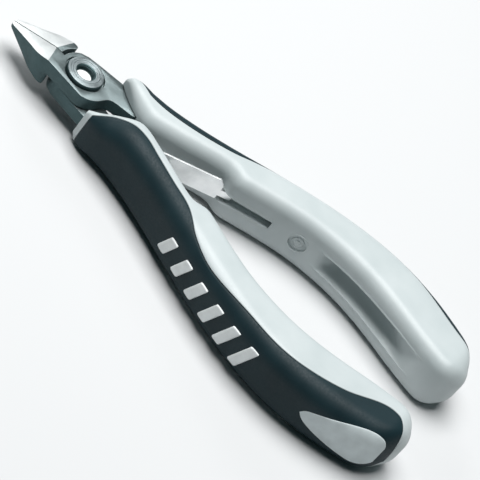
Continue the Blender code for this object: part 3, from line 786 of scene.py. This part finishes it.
def turned_steel(name, colour, roughness):
    """Steel with concentric turning marks about its own axis."""
    material, tree, shader, coords = new_material(name, colour, roughness, 1.0)
    rings = tree.nodes.new("ShaderNodeTexWave")
    rings.wave_type = "RINGS"
    rings.rings_direction = "Z"
    rings.inputs["Scale"].default_value = 2.2 / MM
    rings.inputs["Distortion"].default_value = 0.6
    rings.inputs["Detail"].default_value = 2
    tree.links.new(coords.outputs["Object"], rings.inputs["Vector"])
    cloud = noise(tree, coords, 0.5, 4)
    darker = [c * 0.88 for c in colour]
    lighter = [min(1, c * 1.1) for c in colour]
    tree.links.new(ramp(tree, cloud, [(0.3, darker), (0.7, lighter)]), shader.inputs["Base Color"])
    tree.links.new(spanned(tree, cloud, roughness * 0.85, roughness * 1.2), shader.inputs["Roughness"])
    bumped(tree, shader, (rings.outputs["Fac"], 0.02, 0.5))
    return material


def plain_floor():
    """Pale matt floor."""
    material, _, shader, _ = new_material("floor", (0.62, 0.625, 0.63), 0.9)
    shader.inputs["Specular IOR Level"].default_value = 0.15
    return material


# Assembly.


def half_turned(obj, name, location):
    """The same piece on the other half: half a turn about the long axis."""
    copy = bpy.data.objects.new(name, obj.data)
    bpy.context.scene.collection.objects.link(copy)
    copy.rotation_euler = (0, math.pi, 0)
    copy.location = location
    return copy


def settle(obj, body, node):
    """Make a piece ride on a body and stand for its plain solid."""
    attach(obj, body)
    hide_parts(node)


def build():
    """Every piece, in pairs for the two halves."""
    pale = moulded_plastic()
    rubber = soft_rubber()
    pad = matt_plastic("pad_plastic", (0.6, 0.66, 0.67), 2.0)
    mark = matt_plastic("bar_plastic", (0.78, 0.81, 0.81), 2.6)
    satin = steel("satin_steel", (0.22, 0.265, 0.27), 0.42, (3.0, 3.0, 3.0), 0.008, 0.35)
    # Brighter steel for the ground nose and broken edges: partly the ground finish, partly painted highlight.
    ground = steel("ground_steel_with_painted_highlight", (0.60, 0.625, 0.625), 0.42, (6.0, 0.5, 6.0), 0.008, 0.35, 0.45)
    # Darker copy of the steel for side walls and the socket wall: painted shade.
    side = steel("painted_shade_steel", (0.06, 0.10, 0.105), 0.5, (2.0, 2.0, 2.0), 0.015, 0.5, 0.7)
    spring = steel("spring_steel", (0.88, 0.905, 0.91), 0.38, (1.0, 5.0, 5.0), 0.004, 0.25, 0.85)
    turned_ring = turned_steel("turned_steel", (0.27, 0.31, 0.32), 0.45)
    # Near-white steel for the socket floor: painted highlight.
    bright = steel("painted_highlight_socket_floor", (0.92, 0.93, 0.93), 0.5, (3, 3, 3), 0.01, 0.3, 0.3)
    half = steel_half("half_a_steel_finished", satin, ground, side)
    hard = grip_frame("grip_frame_right_finished", pale)
    soft = soft_panel("soft_panel_right_finished", rubber)
    inlay = end_pad("end_pad_right_finished", pad)
    pairs = [(half, "half_a_steel", "half_b_steel", "steel"),
             (hard, "grip_frame_right", "grip_frame_left", "grip_frame"),
             (soft, "soft_panel_right", "soft_panel_left", "soft_panel"),
             (inlay, "end_pad_right", "end_pad_left", "end_pad")]
    for i in range(BAR_COUNT):
        right, left = f"raised_bar_right_{i + 1}", f"raised_bar_left_{i + 1}"
        pairs.append((raised_bar(f"{right}_finished", i, mark), right, left, "raised_bar"))
    for obj, right, left, slot in pairs:
        other = half_turned(obj, f"{left}_finished", PIVOT)
        settle(obj, "half_a", right)
        settle(other, "half_b", left)
    screw = pivot_screw("pivot_screw_finished", turned_ring, bright, side)
    settle(screw, "half_a", "pivot_screw")
    settle(pivot_nut("pivot_nut_finished", turned_ring), "half_a", "pivot_nut")
    leaf = leaf_spring("leaf_spring_right_finished", spring)
    other_place = PIVOT + Vector((-LEAF_ROOT[0] * MM, LEAF_ROOT[1] * MM, 0))
    other = half_turned(leaf, "leaf_spring_left_finished", other_place)
    settle(leaf, "spring_right", "leaf_spring_right")
    settle(other, "spring_left", "leaf_spring_left")


def make_camera():
    """Camera above the left handle's palm side, rolled so that the tool lies across the picture."""
    right = Vector(CAMERA_RIGHT)
    back = Vector(CAMERA_BACK).normalized()
    up = back.cross(right).normalized()
    right = up.cross(back)
    data = bpy.data.cameras.new("camera")
    data.sensor_width = 36
    data.lens = CAMERA_LENS
    camera = bpy.data.objects.new("camera", data)
    target = PIVOT + Vector(CAMERA_AIM) * MM
    turn = Matrix((right, up, back)).transposed()
    camera.matrix_world = Matrix.Translation(target + back * CAMERA_DISTANCE) @ turn.to_4x4()
    bpy.context.scene.collection.objects.link(camera)
    bpy.context.scene.camera = camera


def area_light(name, place, aim, size, power, colour):
    """A square soft light at a place, aimed at a point."""
    data = bpy.data.lights.new(name, "AREA")
    data.shape = "SQUARE"
    data.size = size
    data.energy = power
    data.color = colour
    light = bpy.data.objects.new(name, data)
    light.location = place
    light.rotation_mode = "QUATERNION"
    light.rotation_quaternion = (Vector(aim) - Vector(place)).to_track_quat("-Z", "Y")
    bpy.context.scene.collection.objects.link(light)


def make_studio():
    """Pale floor, one broad overhead light and weak fills."""
    bm = bmesh.new()
    bmesh.ops.create_grid(bm, x_segments=1, y_segments=1, size=3.0)
    mesh = bpy.data.meshes.new("floor")
    bm.to_mesh(mesh)
    bm.free()
    mesh.materials.append(plain_floor())
    floor = bpy.data.objects.new("floor", mesh)
    bpy.context.scene.collection.objects.link(floor)
    area_light("overhead", (0.06, 0.12, 0.75), aim=(0, 0, 0), size=0.6, power=10.0, colour=(1, 1, 1))
    area_light("behind", (0.5, 0.5, 0.3), aim=(0, 0, 0), size=0.2, power=1.0, colour=(1, 1, 1))
    world = bpy.data.worlds.new("studio")
    world.use_nodes = True
    background = world.node_tree.nodes["Background"]
    background.inputs["Color"].default_value = FILL_COLOUR
    background.inputs["Strength"].default_value = FILL_STRENGTH
    bpy.context.scene.world = world


make_camera()
build()
make_studio()
bpy.context.scene.view_settings.view_transform = "Standard"
